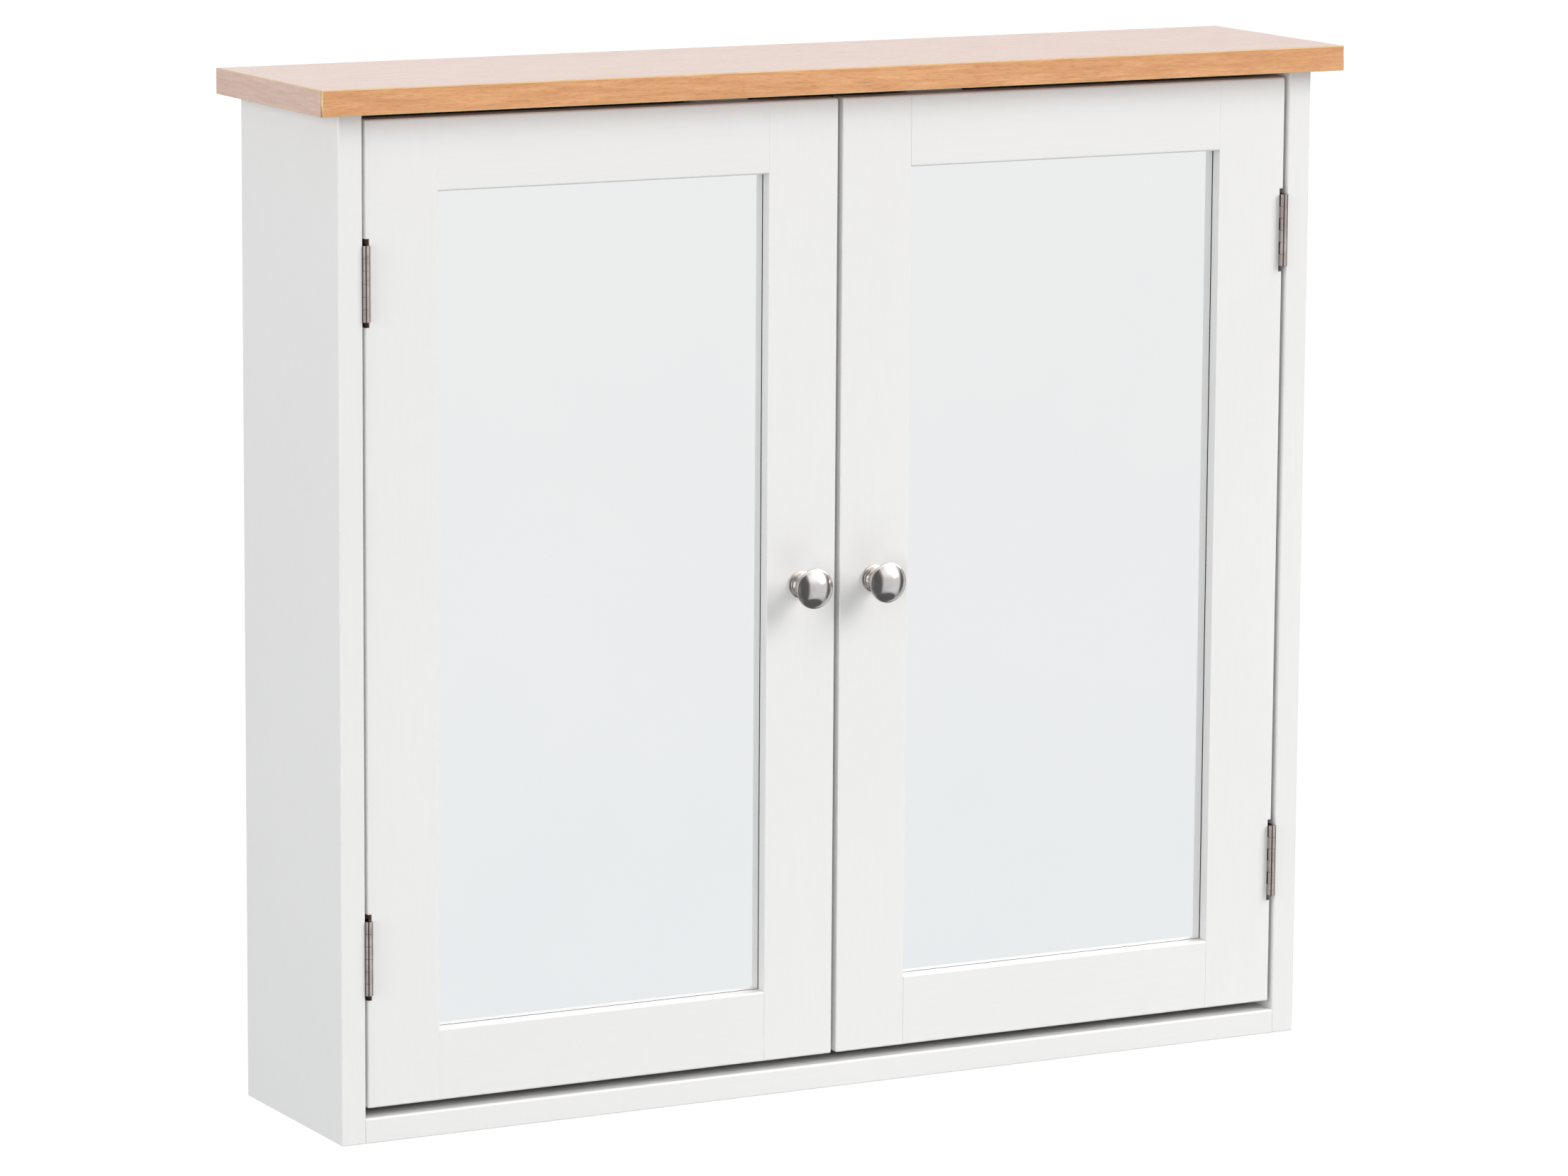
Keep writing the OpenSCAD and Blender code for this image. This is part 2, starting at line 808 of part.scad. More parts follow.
door_leaf(LEFT, hinge_z[0]);  // left_upper_door_leaf
door_leaf(LEFT, hinge_z[1]);  // left_lower_door_leaf
door_leaf_screws(LEFT);  // left_door_leaf_screws
strike_plate(LEFT);  // left_strike_plate
strike_screw(LEFT);  // left_strike_screw
hinge_stile(RIGHT);  // right_hinge_stile
meeting_stile(RIGHT);  // right_meeting_stile
top_rail(RIGHT);  // right_top_rail
bottom_rail(RIGHT);  // right_bottom_rail
frame_dowels(RIGHT);  // right_frame_dowels
mirror_glass(RIGHT);  // right_mirror
backing_board(RIGHT);  // right_backing_board
backing_screws(RIGHT);  // right_backing_screws
knob(RIGHT);  // right_knob
knob_screw(RIGHT);  // right_knob_screw
door_leaf(RIGHT, hinge_z[0]);  // right_upper_door_leaf
door_leaf(RIGHT, hinge_z[1]);  // right_lower_door_leaf
door_leaf_screws(RIGHT);  // right_door_leaf_screws
strike_plate(RIGHT);  // right_strike_plate
strike_screw(RIGHT);  // right_strike_screw
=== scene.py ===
import json
import math

import bmesh
import bpy
from mathutils import Matrix, Vector


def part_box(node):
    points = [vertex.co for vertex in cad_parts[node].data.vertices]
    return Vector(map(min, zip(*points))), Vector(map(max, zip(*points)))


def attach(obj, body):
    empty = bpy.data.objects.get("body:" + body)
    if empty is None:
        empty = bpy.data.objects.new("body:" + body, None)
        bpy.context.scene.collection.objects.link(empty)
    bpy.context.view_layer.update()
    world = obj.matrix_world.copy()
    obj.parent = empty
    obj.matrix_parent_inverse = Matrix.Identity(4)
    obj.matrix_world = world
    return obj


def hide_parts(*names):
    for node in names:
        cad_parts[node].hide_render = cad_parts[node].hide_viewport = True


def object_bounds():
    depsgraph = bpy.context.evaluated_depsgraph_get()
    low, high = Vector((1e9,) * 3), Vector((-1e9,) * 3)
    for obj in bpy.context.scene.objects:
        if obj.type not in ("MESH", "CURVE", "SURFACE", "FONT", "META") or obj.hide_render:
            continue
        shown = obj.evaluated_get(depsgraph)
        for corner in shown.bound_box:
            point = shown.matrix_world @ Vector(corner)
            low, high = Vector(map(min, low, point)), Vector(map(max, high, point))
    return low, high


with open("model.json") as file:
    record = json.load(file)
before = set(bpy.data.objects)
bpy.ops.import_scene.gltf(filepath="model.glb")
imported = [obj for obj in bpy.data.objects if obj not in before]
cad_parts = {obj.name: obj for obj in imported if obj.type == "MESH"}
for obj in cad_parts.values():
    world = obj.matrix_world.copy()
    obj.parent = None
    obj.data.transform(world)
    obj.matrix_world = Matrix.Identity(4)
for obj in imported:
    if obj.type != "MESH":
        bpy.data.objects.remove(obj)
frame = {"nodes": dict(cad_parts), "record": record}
cad_low, cad_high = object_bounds()

# ---- What the frame says ----

MM = 0.001
MICRON = 0.000001
NODES = frame["nodes"]
RECORD = frame["record"]
BODY_OF = {node: body for body, nodes in RECORD["behaviour"]["bodies"].items() for node in nodes}
SLOT_OF = {part["node"]: part["material_slot"] for part in RECORD["subparts"]}
SIDES = ("left", "right")

# ---- Studio, in metres and degrees, and mm for the lens ----

CAMERA_AT = (-1.6423, -3.1431, 0.3653)
CAMERA_YAW = 28.03
CAMERA_PITCH = -9.82
CAMERA_ROLL = 0.38
CAMERA_LENS = 156.4
SENSOR_WIDTH = 36
FLOOR_DEPTH = 6.0
FLOOR_RADIUS = 60
WHITE_BACKGROUND = (1.05, 1.05, 1.05)
KEY_WARMTH = (1, 0.985, 0.97)

# The room's brightness for soft light, for what mirrors show, and for what satin metal and lacquer show.
# Each is a base and lobes. A lobe is a direction, the cosines where it starts and is full, what it adds
# there, and its height as a multiple of its width, if it isn't round.
AMBIENT_BASE = 0.18
AMBIENT_LOBES = (
    ((0.3, 0.92, 0.2), 0.2, 0.9, 0.30),
    ((0, 0, 1), 0.2, 0.95, 0.30),
    ((0, -0.2, -1), 0.35, 0.85, -0.30),
)
TOP_AND_BACK_LOBES = (
    ((0.2, -0.45, 0.87), 0.60, 0.92, 0.60),
    ((0.2, 0.96, 0.2), 0.50, 0.92, 0.48),
)
MIRRORED_BASE = 0.70
MIRRORED_LOBES = (
    ((0.58, -0.81, 0.2), -0.20, 0.80, 0.20),
    ((-0.15, -0.35, -0.9), 0.70, 0.84, -0.20),
    *TOP_AND_BACK_LOBES,
)
SHINE_BASE = 0.45
SHINE_LOBES = (
    ((0.50, -0.86, 0.10), 0.26, 0.82, 0.50),
    ((0.54, -0.45, 0.71), 0.848, 0.951, 0.70),
    ((-0.57, -0.82, 0), 0.9135, 0.9426, -0.75, 4.0),
    ((-0.91, -0.41, 0), 0.984, 0.995, 1.00, 3.0),
    ((0.99, -0.05, -0.08), 0.93, 0.975, -0.75, 1.5),
    ((0.17, -0.22, -0.96), 0.81, 0.883, -0.75),
    ((0.10, 0.98, 0.17), 0.86, 0.97, 0.10),
    *TOP_AND_BACK_LOBES,
)
DARKEST = 0.14
# What comes from below is tinted a little cool.
COOL_LOBE = ((0, 0, -1), 0.10, 0.30, 1.0)
COOL_TINT = (0.955, 0.99, 1.01)

# ---- Shapes, in mm ----

WELD_DISTANCE = 0.002
FLUSH_DISTANCE = 0.02
FLAT_ANGLE = math.radians(0.5)
ALONG_AXIS = 0.999
WIDEST_ROUNDING = 2.0
ROUNDING_STEPS = 3
SHARP_ANGLE = math.radians(30)
SHORTEST_ROUNDED = 3.0
# The bevel's number for leaving a rounded edge in the look of its faces.
OWN_LOOK = -1
SILVER_DEPTH = 0.5
DOOR_BACK = [("+y", 0.6), ("-z", 0.3), ("+z", 0.3)]
KNOB_STEPS = 96
ON_AXIS = 1e-6
CREASE_ANGLE = math.radians(50)


class Finish:
    """A material and short calls for its nodes. Patterns are placed in the row frame's metres."""

    def __init__(self, name, **values):
        self.material = bpy.data.materials.new(name)
        self.material.use_nodes = True
        self.tree = self.material.node_tree
        self.shader = self.tree.nodes["Principled BSDF"]
        self.set(**values)

    def set(self, **values):
        """Sets the shader's sockets, by name with _ for each space, to a number, a colour or an output."""
        for name, value in values.items():
            self.give(self.shader.inputs[name.replace("_", " ")], value)

    def give(self, socket, value):
        if isinstance(value, bpy.types.NodeSocket):
            self.tree.links.new(value, socket)
        elif socket.type == "RGBA":
            socket.default_value = (*value, 1)
        else:
            socket.default_value = value

    def node(self, kind, inputs, **settings):
        made = self.tree.nodes.new(kind)
        for name, value in settings.items():
            setattr(made, name, value)
        for key, value in inputs.items():
            self.give(made.inputs[key], value)
        return made

    def place(self, stretch):
        where = self.node("ShaderNodeTexCoord", {}).outputs["Object"]
        return self.node("ShaderNodeMapping", {"Vector": where, "Scale": stretch}).outputs["Vector"]

    def noise(self, stretch, detail=3.0, roughness=0.5, distortion=0.0):
        """Noise with stretch cycles a metre along each axis, from about 0.3 to 0.7."""
        inputs = {
            "Vector": self.place(stretch), "Scale": 1.0, "Detail": detail,
            "Roughness": roughness, "Distortion": distortion,
        }
        return self.node("ShaderNodeTexNoise", inputs).outputs["Fac"]

    def spread(self, factor, low, high, new_low=0.0, new_high=1.0):
        """Maps a number from low..high to new_low..new_high, held at both ends."""
        inputs = {0: factor, 1: low, 2: high, 3: new_low, 4: new_high}
        return self.node("ShaderNodeMapRange", inputs, clamp=True).outputs["Result"]

    def mix(self, factor, first, second, blend="MIX"):
        inputs = {0: factor, 6: first, 7: second}
        return self.node("ShaderNodeMix", inputs, data_type="RGBA", blend_type=blend).outputs[2]

    def math(self, operation, first, second):
        return self.node("ShaderNodeMath", {0: first, 1: second}, operation=operation).outputs[0]

    def bump(self, height, distance, strength=1.0, normal=None):
        inputs = {"Height": height, "Distance": distance, "Strength": strength}
        if normal:
            inputs["Normal"] = normal
        return self.node("ShaderNodeBump", inputs).outputs["Normal"]


# ---- Materials ----

# The middle range of a noise, where most of it lies, and each pattern's cycles a metre.
MIDDLE = (0.35, 0.65)
CLOUDS, FIBRES, WEAR, SHINE_CHANGES, PEEL = 7, 50, 160, 60, 700
BANDS, STREAKS, FLECKS = 4, 38, 200
PATCHES, HAZE, SPECKS, FLOOR_CLOUDS = 120, 9, 900, 1.5

# How a pattern is stretched: along a board's grain, flattened as in pressed board, or not at all.
ALONG_X = (1, 14, 14)
ALONG_Y = (14, 1, 14)
ALONG_Z = (14, 14, 1)
FLATTENED = (1, 1, 1.6)
EVEN = (1, 1, 1)


def scaled(stretch, times):
    return tuple(s * times for s in stretch)


def lacquer(name, grain, base, worn):
    """White lacquer on board: slow tone changes, faint grain of the board below, and a fine orange peel."""
    made = Finish(name, Coat_Weight=0.25, Coat_Roughness=0.18)
    cloud = made.spread(made.noise(scaled(EVEN, CLOUDS), 2), *MIDDLE)
    fibre = made.noise(scaled(grain, FIBRES), 4, 0.6)
    tone = made.mix(cloud, base, scaled(base, 0.982))
    fine = made.mix(made.spread(fibre, 0.4, 0.75, 0, 0.5), tone, scaled(base, 0.965))
    wear = made.spread(made.noise(scaled(EVEN, WEAR), 5, 0.7), 0.52, 0.7, 0, 0.5)
    peel = made.bump(made.noise(scaled(EVEN, PEEL), 2), 20 * MICRON)
    made.set(
        Base_Color=made.mix(wear, fine, worn),
        Roughness=made.spread(made.noise(scaled(EVEN, SHINE_CHANGES), 3), 0.3, 0.7, 0.3, 0.42),
        Normal=made.bump(fibre, 30 * MICRON, 0.6, peel),
    )
    return made.material


def beech(name, grain, pale, dark, fleck, flecking, roughness, coat):
    """Beech foil: broad bands, fine long streaks and short thin dark flecks, all along the grain."""
    made = Finish(name, Coat_Weight=coat, Coat_Roughness=0.22)
    bands = made.spread(made.noise(scaled(grain, BANDS), 2, 0.5, 0.6), *MIDDLE)
    streaks = made.spread(made.noise(scaled(grain, STREAKS), 6, 0.68, 0.3), 0.36, 0.64)
    flecks = made.spread(made.noise(scaled(grain, FLECKS), 3, 0.6, 0.3), 0.54, 0.68, 0, flecking)
    tone = made.mix(made.math("MULTIPLY", streaks, 0.9), pale, dark)
    tone = made.mix(made.math("MULTIPLY", bands, 0.35), tone, dark)
    rough = made.spread(streaks, 0, 1, roughness, roughness + 0.1)
    height = made.math("SUBTRACT", streaks, made.math("MULTIPLY", flecks, 1.5))
    made.set(
        Base_Color=made.mix(flecks, tone, fleck),
        Roughness=made.math("ADD", rough, made.math("MULTIPLY", flecks, 0.15)),
        Normal=made.bump(height, 30 * MICRON, 0.7),
    )
    return made.material


def fibreboard(name, pale, dark, fineness, contrast):
    """Pressed wood fibres or chips, matt, in two tones. fineness is the chips' cycles a metre."""
    made = Finish(name)
    chips = made.spread(made.noise(scaled(FLATTENED, fineness), 5, 0.7, 0.8), *MIDDLE)
    dust = made.spread(made.noise(scaled(EVEN, fineness * 4), 3), *MIDDLE)
    clouds = made.spread(made.noise(scaled(EVEN, fineness / 30), 4, 0.6), *MIDDLE, 0, 0.4)
    tone = made.mix(clouds, made.mix(chips, pale, dark), dark)
    made.set(
        Base_Color=made.mix(made.math("MULTIPLY", dust, contrast), tone, dark),
        Roughness=made.spread(dust, 0, 1, 0.72, 0.9),
        Normal=made.bump(chips, 120 * MICRON, 0.6),
    )
    return made.material


def metal(name, bright, dull, roughness, brushing):
    """Plated metal with faint dull patches. brushing is its grain's cycles a metre along each axis."""
    made = Finish(name, Metallic=1.0)
    patch = made.spread(made.noise(scaled(EVEN, PATCHES), 4, 0.6), 0.35, 0.68)
    brush = made.noise(brushing, 3, 0.6)
    rough = made.spread(patch, 0, 1, roughness, roughness + 0.07)
    made.set(
        Base_Color=made.mix(patch, bright, dull),
        Roughness=made.math("ADD", rough, made.math("MULTIPLY", brush, 0.06)),
        Normal=made.bump(brush, 4 * MICRON, 0.6),
    )
    return made.material


def mirror_silver():
    """Silvered glass, quite sharp, with the faintest haze in its tone."""
    made = Finish("mirror_silver", Metallic=1.0, Roughness=0.0)
    haze = made.spread(made.noise(scaled(EVEN, HAZE), 4, 0.6), 0.35, 0.7)
    made.set(Base_Color=made.mix(haze, (0.94, 0.945, 0.945), (0.925, 0.935, 0.94)))
    return made.material


def speckled(name, pale, dark, roughness):
    """A moulded, sintered or painted surface with a fine speckle."""
    made = Finish(name)
    speck = made.spread(made.noise(scaled(EVEN, SPECKS), 3, 0.6), *MIDDLE)
    made.set(
        Base_Color=made.mix(speck, pale, dark),
        Roughness=made.spread(speck, 0, 1, roughness, roughness + 0.12),
        Normal=made.bump(speck, 10 * MICRON, 0.5),
    )
    return made.material


WHITE = (0.86, 0.86, 0.855)
THIN_WHITE = (0.80, 0.79, 0.77)

LACQUER_LEVEL = lacquer("white_lacquer_level", ALONG_X, WHITE, WHITE)
LACQUER_UPRIGHT = lacquer("white_lacquer_upright", ALONG_Z, WHITE, WHITE)
# The rounded edges' lacquer is a little brighter than the faces as a painted highlight, with worn patches of
# thin paint.
LACQUER_EDGE_HIGHLIGHT_AND_WEAR = lacquer("white_lacquer_edge_highlight_and_wear", EVEN, (0.88, 0.88, 0.875), THIN_WHITE)
BEECH_TOP = beech(
    "beech_foil_top", ALONG_X, pale=(0.885, 0.605, 0.48), dark=(0.76, 0.465, 0.35), fleck=(0.50, 0.28, 0.18),
    flecking=0.35, roughness=0.26, coat=0.5,
)
BEECH_FRONT = beech(
    "beech_front", ALONG_X, pale=(0.84, 0.45, 0.22), dark=(0.62, 0.285, 0.115), fleck=(0.36, 0.135, 0.045),
    flecking=0.5, roughness=0.36, coat=0.1,
)
# The end edgings are paler and greyer than the front: a painted reflection of the pale room.
BEECH_END_PAINTED_SHEEN = beech(
    "beech_end_painted_sheen", ALONG_Y, pale=(0.80, 0.58, 0.49), dark=(0.64, 0.43, 0.35), fleck=(0.45, 0.28, 0.21),
    flecking=0.4, roughness=0.34, coat=0.2,
)
# The edging strips' rounded edges are paler and yellower than their faces: a painted highlight.
BEECH_EDGE_HIGHLIGHT = beech(
    "beech_edge_painted_highlight", ALONG_X, pale=(0.88, 0.66, 0.36), dark=(0.74, 0.50, 0.22), fleck=(0.5, 0.3, 0.12),
    flecking=0.4, roughness=0.4, coat=0.1,
)
CHIPBOARD = fibreboard("chipboard", (0.62, 0.46, 0.29), (0.36, 0.24, 0.13), 420, 0.6)
# Raw wood far darker than raw board: painted shade in the door frames' rebates and hinge mortises.
RAW_WOOD_AND_PAINTED_SHADE = fibreboard("raw_wood_and_painted_shade", (0.30, 0.22, 0.15), (0.18, 0.125, 0.08), 900, 0.5)
HARDBOARD = fibreboard("hardboard", (0.40, 0.25, 0.14), (0.25, 0.145, 0.075), 1400, 0.7)
DOWEL_WOOD = beech(
    "dowel_wood", ALONG_X, pale=(0.70, 0.52, 0.33), dark=(0.55, 0.37, 0.2), fleck=(0.35, 0.2, 0.1),
    flecking=0.6, roughness=0.6, coat=0,
)
MIRROR = mirror_silver()
MIRROR_BACK = speckled("mirror_backing_paint", (0.16, 0.19, 0.2), (0.11, 0.13, 0.14), 0.5)
SATIN_NICKEL = metal("satin_nickel", (0.66, 0.62, 0.61), (0.58, 0.54, 0.53), 0.10, (2500, 2500, 500))
BRIGHT_NICKEL = metal("bright_nickel", (0.70, 0.64, 0.60), (0.60, 0.54, 0.50), 0.06, (900, 900, 900))
HINGE_NICKEL = metal("hinge_nickel", (0.56, 0.49, 0.465), (0.42, 0.36, 0.335), 0.07, (900, 900, 2500))
ZINC = metal("zinc_plated_steel", (0.62, 0.63, 0.64), (0.48, 0.49, 0.50), 0.24, (1500, 1500, 1500))
WHITE_PLASTIC = speckled("white_plastic", (0.80, 0.80, 0.78), (0.76, 0.76, 0.74), 0.38)
FERRITE = speckled("ferrite", (0.035, 0.035, 0.038), (0.02, 0.02, 0.022), 0.5)

# The looks of the CAD nodes that stay as they are, by their material slot.
SLOT_LOOKS = {
    "dowel_wood": DOWEL_WOOD,
    "satin_nickel": HINGE_NICKEL,
    "zinc_plated_steel": ZINC,
    "ferrite": FERRITE,
}


# ---- Mesh tools ----

def cleaned(node):
    """The CAD node's shape with its flat faces whole, ready for rounding."""
    shape = bmesh.new()
    shape.from_mesh(NODES[node].data)
    bmesh.ops.remove_doubles(shape, verts=shape.verts, dist=WELD_DISTANCE * MM)
    bmesh.ops.dissolve_limit(shape, angle_limit=FLAT_ANGLE, verts=shape.verts, edges=shape.edges)
    return shape


def side_of(face, box):
    """The name of the box side that a face lies in, such as -y, or None for an inner or slanted face."""
    low, high = box
    for axis, letter in enumerate("xyz"):
        if abs(face.normal[axis]) > ALONG_AXIS:
            at = face.calc_center_median()[axis]
            if face.normal[axis] < 0 and at < low[axis] + FLUSH_DISTANCE * MM:
                return "-" + letter
            if face.normal[axis] > 0 and at > high[axis] - FLUSH_DISTANCE * MM:
                return "+" + letter
    return None


def rounding(edge, box, rules):
    """The edge's radius in mm, by the first rule whose sides all meet here. It is 0 off the box's sides."""
    if edge.calc_length() < SHORTEST_ROUNDED * MM:
        return 0
    here = {side_of(face, box) for face in edge.link_faces}
    for sides, radius in rules:
        if None not in here and set(sides.split()) <= here:
            return radius
    return 0


def round_edges(shape, box, rules):
    """Marks each sharp edge with its share of the widest rounding. An edge that stays sharp is shaded so."""
    weight = shape.edges.layers.float.new("bevel_weight_edge")
    for face in shape.faces:
        face.smooth = True
    for edge in shape.edges:
        if len(edge.link_faces) != 2 or edge.calc_face_angle() < SHARP_ANGLE:
            continue
        radius = rounding(edge, box, rules)
        edge[weight] = radius / WIDEST_ROUNDING
        edge.smooth = radius > 0


def add_piece(name, shape, body, stands_for, looks):
    """Makes an object of the shape, riding on a body and standing for a CAD node."""
    mesh = bpy.data.meshes.new(name)
    shape.to_mesh(mesh)
    shape.free()
    for look in looks:
        mesh.materials.append(look)
    piece = bpy.data.objects.new(name, mesh)
    bpy.context.scene.collection.objects.link(piece)
    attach(piece, body)
    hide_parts(stands_for)
    return piece


def add_rounding(piece, edge_look=OWN_LOOK, clamp=False):
    """Rounds the marked edges and keeps the faces between them looking flat."""
    bevel = piece.modifiers.new("rounding", "BEVEL")
    bevel.limit_method = "WEIGHT"
    bevel.width = WIDEST_ROUNDING * MM
    bevel.segments = ROUNDING_STEPS
    bevel.use_clamp_overlap = clamp
    bevel.material = edge_look
    flat = piece.modifiers.new("flat_faces", "WEIGHTED_NORMAL")
    flat.weight = 100
    flat.keep_sharp = True


def rounded(node, rules, looks, edge_look=OWN_LOOK, paint=None):
    """A new piece in the node's place with its edges rounded. paint picks the look of each face."""
    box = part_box(node)
    shape = cleaned(node)
    round_edges(shape, box, rules)
    if paint:
        for face in shape.faces:
            face.material_index = paint(face, box)
    piece = add_piece(node + "_rounded", shape, BODY_OF[node], node, looks)
    add_rounding(piece, edge_look)
    return piece


def softened(node, radius, look):
    """A new piece in a small part's place, with all its sharp edges rounded by one radius in mm."""
    shape = cleaned(node)
    weight = shape.edges.layers.float.new("bevel_weight_edge")
    for face in shape.faces:
        face.smooth = True
    for edge in shape.edges:
        if len(edge.link_faces) == 2 and edge.calc_face_angle() > SHARP_ANGLE:
            edge[weight] = radius / WIDEST_ROUNDING
    piece = add_piece(node + "_softened", shape, BODY_OF[node], node, [look])
    add_rounding(piece, clamp=True)


def give_look(node, look):
    part = NODES[node]
    part.data.materials.clear()
    part.data.materials.append(look)


# ---- Carcass ----

def inner_raw_or_painted_shade(face, box):
    """Look 0 on the board's own sides, and 2 in its grooves and holes: raw board, on door frames darkened as
    painted shade.
    """
    return 2 if side_of(face, box) is None else 0


def make_side_panels():
    looks = [LACQUER_UPRIGHT, LACQUER_EDGE_HIGHLIGHT_AND_WEAR, CHIPBOARD]
    for side, outer, inner in zip(SIDES, ("-x", "+x"), ("+x", "-x")):
        rules = [("-y " + outer, 0.9), ("-y " + inner, 0.5), ("-z", 0.6), ("+y", 0.4), ("+z", 0.2)]
        rounded(side + "_side", rules, looks, 1, inner_raw_or_painted_shade)


def make_level_boards():
    looks = [LACQUER_LEVEL, LACQUER_EDGE_HIGHLIGHT_AND_WEAR, CHIPBOARD]
    front = [("-y +z", 1.3), ("-y -z", 0.7)]
    rounded("bottom_panel", [("-x", 0.25), ("+x", 0.25), *front, ("+y", 0.3)], looks, 1, inner_raw_or_painted_shade)
    rounded("hanging_rail", [("-x", 0.2), ("+x", 0.2), ("-z", 0.5), ("+z", 0.2)], looks, 1, inner_raw_or_painted_shade)
    for node in ("lower_shelf", "upper_shelf"):
        rounded(node, [("-y", 0.7), ("+y", 0.5), ("-x", 0.5), ("+x", 0.5)], looks, 1)


def make_back_panel():
    def white_inside(face, box):
        return 0 if side_of(face, box) == "-y" else 1

    rules = [("-z", 0.15), ("+z", 0.15), ("-x", 0.15), ("+x", 0.15)]
    rounded("back_panel", rules, [LACQUER_LEVEL, HARDBOARD], OWN_LOOK, white_inside)


def make_top_board():
    def foil_on_top_and_under(face, box):
        return 0 if side_of(face, box) in ("+z", "-z") else 1

    rounded("top_board", [], [BEECH_TOP, CHIPBOARD], OWN_LOOK, foil_on_top_and_under)
    front = [("-y +z", 0.45), ("-y -z", 0.45), ("-y -x", 0.9), ("-y +x", 0.9), ("-x", 0.3), ("+x", 0.3)]
    rounded("top_front_edging", front, [BEECH_FRONT, BEECH_EDGE_HIGHLIGHT], 1)
    for side, outer in zip(SIDES, ("-x", "+x")):
        rules = [(outer + " +z", 0.4), (outer + " -z", 0.4), (outer + " +y", 0.4)]
        rounded(f"top_{side}_edging", rules, [BEECH_END_PAINTED_SHEEN, BEECH_EDGE_HIGHLIGHT], 1)


# ---- Doors ----

def make_stile(node, free, joined, free_radius):
    """free is the stile's side that shows in a gap, and joined the one that meets the rails."""
    front = [(free + " -y", free_radius), (joined + " -y", 0.7)]
    ends = [("-z -y", 1.2), ("+z -y", 1.2), (free + " -z", 1.0), (free + " +z", 1.0)]
    # Look 2, in the rebate and mortise, is raw wood darkened as painted shade.
    looks = [LACQUER_UPRIGHT, LACQUER_EDGE_HIGHLIGHT_AND_WEAR, RAW_WOOD_AND_PAINTED_SHADE]
    rounded(node, front + ends + DOOR_BACK, looks, 1, inner_raw_or_painted_shade)


def make_door_frame(side):
    outer, inner = ("-x", "+x") if side == "left" else ("+x", "-x")
    make_stile(side + "_hinge_stile", outer, inner, 0.7)
    make_stile(side + "_meeting_stile", inner, outer, 0.6)
    rail = [("-x", 0.3), ("+x", 0.3), ("-z -y", 1.3), ("+z -y", 1.3)]
    for name in ("_top_rail", "_bottom_rail"):
        # The rails' rebates are darkened as painted shade too.
        rounded(side + name, rail + DOOR_BACK, [LACQUER_LEVEL, LACQUER_EDGE_HIGHLIGHT_AND_WEAR, RAW_WOOD_AND_PAINTED_SHADE], 1, inner_raw_or_painted_shade)


def make_mirror(side):
    """The glass with its silvered plane a little behind the frame's ledge, which leaves a thin dark line that
    painted shade on the rebate deepens.
    """
    def silvered_front(face, box):
        return 0 if side_of(face, box) == "-y" else 1

    piece = rounded(side + "_mirror", [], [MIRROR, MIRROR_BACK], OWN_LOOK, silvered_front)
    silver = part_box(side + "_mirror")[0].y + SILVER_DEPTH * MM
    for vertex in piece.data.vertices:
        vertex.co.y = max(vertex.co.y, silver)


def make_backing_board(side):
    rules = [("+y", 0.3), ("-x", 0.3), ("+x", 0.3), ("-z", 0.3), ("+z", 0.3)]
    rounded(side + "_backing_board", rules, [HARDBOARD])


# ---- Knobs ----

def arc(centre, radius, start, end, steps):
    """Points on an arc in the knob's (radius, height) plane, from start to end degrees."""
    angles = [math.radians(start + (end - start) * i / steps) for i in range(steps + 1)]
    return [(centre[0] + radius * math.cos(a), centre[1] + radius * math.sin(a)) for a in angles]


def knob_profile(cap_r, length):
    """Half the knob's section in mm as (radius, height) points, and how many of them come before its face.
    It runs from the end of the screw hole round to the middle of the face."""
    bore_r, bore_depth = 2.05, 9.0
    base_r, base_round = 7.15, 0.45
    step_r, step_h, step_round = 6.1, 1.6, 0.3
    neck_r, hollow_r = 4.0, 6.2
    under_inset, under_drop = 2.4, 1.35
    cap_h, rim_r = 4.7, 0.7
    lip_w, lip_h = 0.45, 0.62
    rim_h = length - cap_h
    face_edge = cap_r - lip_w
    face_rise = cap_h - lip_h
    face_r = (face_edge ** 2 + face_rise ** 2) / (2 * face_rise)
    slope = 90 - math.degrees(math.asin(face_edge / face_r))
    hole = [(0, bore_depth), (bore_r, bore_depth), (bore_r, 0)]
    base = arc((base_r - base_round, base_round), base_round, -90, 90, 8)
    step = arc((step_r - step_round, step_h - step_round), step_round, 0, 90, 4)
    neck = arc((neck_r + hollow_r, step_h + hollow_r), hollow_r, 228, 128, 18)
    cap_under = [(cap_r - under_inset, rim_h - under_drop)]
    rim = arc((cap_r - rim_r, rim_h), rim_r, -65, 62, 8)
    face = arc((0, length - face_r), face_r, slope, 90, 20)
    back = hole + base + step + neck + cap_under + rim
    return back + face, len(back)


